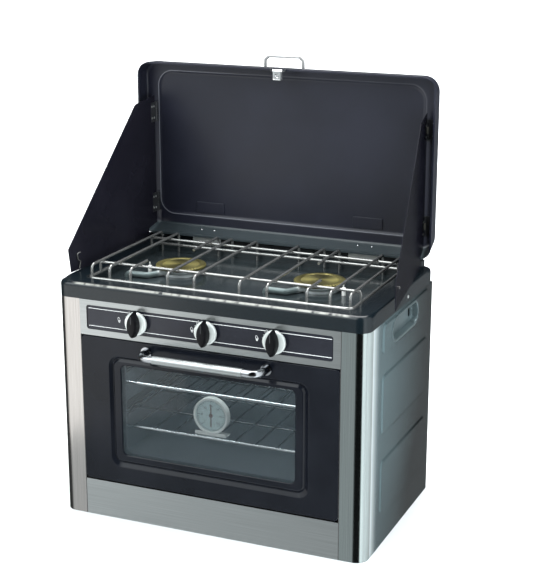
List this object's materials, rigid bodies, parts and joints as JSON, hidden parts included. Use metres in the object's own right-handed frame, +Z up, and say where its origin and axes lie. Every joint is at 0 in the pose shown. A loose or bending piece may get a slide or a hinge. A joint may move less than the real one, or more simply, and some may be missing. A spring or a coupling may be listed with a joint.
{
  "type": "portable gas stove with oven",
  "caption": "Portable camping gas stove with an oven below: brass burners, a wire grate, a drop-down glass door, control knobs and a raised lid with side windscreens.",
  "frame": {"origin": "centre of the base, where the pressed floor stands on the surface", "axes": "+X to the right as the user faces the door, +Y from the door to the back, +Z up"},
  "size_m": [0.5586, 0.3848, 0.7336],
  "materials": {
    "slate_enamel": "satin",
    "black_gloss": "gloss",
    "brushed_steel": "satin",
    "dark_steel": "satin",
    "grey_enamel": "satin",
    "chrome": "polished",
    "brass": "satin",
    "aluminium_casting": "cast",
    "white_ceramic": "glazed",
    "white_dial": "satin",
    "black_plastic": "gloss",
    "satin_silver": "satin",
    "tinted_glass": "tinted",
    "fibre_seal": "woven"
  },
  "bodies": {
    "case": {"base_pan": "dark_steel", "left_side_panel": "slate_enamel", "right_side_panel": "slate_enamel", "carry_cups": "brushed_steel", "back_panel": "dark_steel", "left_corner_post": "brushed_steel", "right_corner_post": "brushed_steel", "kick_panel": "brushed_steel", "control_fascia": "brushed_steel", "control_inset": "black_gloss", "top_rim": "slate_enamel", "cooktop_tray": "slate_enamel", "oven_liner": "grey_enamel", "oven_floor_plate": "grey_enamel", "oven_burner": "dark_steel", "rack_runners": "dark_steel", "burner_bodies": "aluminium_casting", "burner_caps": "brass", "igniter_electrodes": "white_ceramic", "gas_manifold": "dark_steel", "gas_valves": "brass", "gas_inlet": "brass", "lid_hinge_brackets": "brushed_steel", "lid_hinge_pins": "brushed_steel"},
    "door": {"door_frame": "black_gloss", "door_glass": "tinted_glass", "door_inner_panel": "grey_enamel", "door_seal": "fibre_seal", "door_handle_tube": "brushed_steel", "door_handle_ends": "chrome", "door_pivots": "brushed_steel"},
    "lid": {"lid_shell": "black_gloss", "lid_handle": "chrome", "lid_hinge_leaves": "brushed_steel", "lid_side_leaves": "black_gloss", "latch_staple": "dark_steel"},
    "latch": {"lid_latch": "brushed_steel"},
    "left_screen": {"left_windscreen": "black_gloss", "left_screen_leaves": "black_gloss"},
    "right_screen": {"right_windscreen": "black_gloss", "right_screen_leaves": "black_gloss"},
    "left_clip": {"left_screen_clip": "chrome"},
    "right_clip": {"right_screen_clip": "chrome"},
    "grate": {"pan_grate": "chrome"},
    "shelf_low": {"lower_rack": "chrome", "thermometer_case": "brushed_steel", "thermometer_dial": "white_dial"},
    "shelf_high": {"upper_rack": "chrome"},
    "needle": {"thermometer_needle": "black_plastic"},
    "left_stem": {"left_valve_stem": "brass"},
    "left_knob_turn": {"left_knob": "black_plastic", "left_knob_skirt": "satin_silver"},
    "middle_stem": {"middle_valve_stem": "brass"},
    "middle_knob_turn": {"middle_knob": "black_plastic", "middle_knob_skirt": "satin_silver"},
    "right_stem": {"right_valve_stem": "brass"},
    "right_knob_turn": {"right_knob": "black_plastic", "right_knob_skirt": "satin_silver"}
  },
  "joints": [
    {"name": "door_drop", "type": "hinge", "parent": "case", "child": "door", "pos_m": [0, -0.156, 0.0695], "axis": [1, 0, 0], "range_deg": [0, 90]},
    {"name": "lid_tilt", "type": "hinge", "parent": "case", "child": "lid", "pos_m": [0, 0.148, 0.412], "axis": [-1, 0, 0], "range_deg": [0, 12]},
    {"name": "latch_swing", "type": "hinge", "parent": "lid", "child": "latch", "pos_m": [-0.003, 0.131, 0.709], "axis": [-1, 0, 0], "range_deg": [0, 90]},
    {"name": "left_screen_swing", "type": "hinge", "parent": "lid", "child": "left_screen", "pos_m": [-0.247, 0.1615, 0.54], "axis": [0, 0, -1], "range_deg": [-7, 20]},
    {"name": "left_clip_turn", "type": "hinge", "parent": "left_screen", "child": "left_clip", "pos_m": [-0.26292, -0.08799, 0.427], "axis": [-0.998, 0.0637, 0], "range_deg": [-90, 0]},
    {"name": "right_screen_swing", "type": "hinge", "parent": "lid", "child": "right_screen", "pos_m": [0.247, 0.1615, 0.54], "axis": [0, 0, 1], "range_deg": [-12, 15]},
    {"name": "right_clip_turn", "type": "hinge", "parent": "right_screen", "child": "right_clip", "pos_m": [0.28525, -0.08556, 0.427], "axis": [0.9882, 0.153, 0], "range_deg": [0, 90]},
    {"name": "grate_lift", "type": "slide", "parent": "case", "child": "grate", "axis": [0, 0, 1], "range_m": [0, 0.06]},
    {"name": "lower_shelf_draw", "type": "slide", "parent": "case", "child": "shelf_low", "axis": [0, -1, 0], "range_m": [0, 0.14]},
    {"name": "upper_shelf_draw", "type": "slide", "parent": "case", "child": "shelf_high", "axis": [0, -1, 0], "range_m": [0, 0.14]},
    {"name": "needle_turn", "type": "hinge", "parent": "shelf_low", "child": "needle", "pos_m": [-0.008, -0.13, 0.193], "axis": [0, 1, 0], "range_deg": [-120, 120]},
    {"name": "left_stem_push", "type": "slide", "parent": "case", "child": "left_stem", "axis": [0, 1, 0], "range_m": [0, 0.003], "stiffness_N_per_m": 800},
    {"name": "left_knob_twist", "type": "hinge", "parent": "left_stem", "child": "left_knob_turn", "pos_m": [-0.119, -0.16, 0.3435], "axis": [0, 1, 0], "range_deg": [-120, 0]},
    {"name": "middle_stem_push", "type": "slide", "parent": "case", "child": "middle_stem", "axis": [0, 1, 0], "range_m": [0, 0.003], "stiffness_N_per_m": 800},
    {"name": "middle_knob_twist", "type": "hinge", "parent": "middle_stem", "child": "middle_knob_turn", "pos_m": [0.002, -0.16, 0.3435], "axis": [0, 1, 0], "range_deg": [-120, 0]},
    {"name": "right_stem_push", "type": "slide", "parent": "case", "child": "right_stem", "axis": [0, 1, 0], "range_m": [0, 0.003], "stiffness_N_per_m": 800},
    {"name": "right_knob_twist", "type": "hinge", "parent": "right_stem", "child": "right_knob_turn", "pos_m": [0.117, -0.16, 0.3435], "axis": [0, 1, 0], "range_deg": [-120, 0]}
  ],
  "couplings": [
    {"joint": "lower_shelf_draw", "follows": "door_drop", "m_per_rad": 0.085},
    {"joint": "upper_shelf_draw", "follows": "door_drop", "m_per_rad": 0.085}
  ]
}
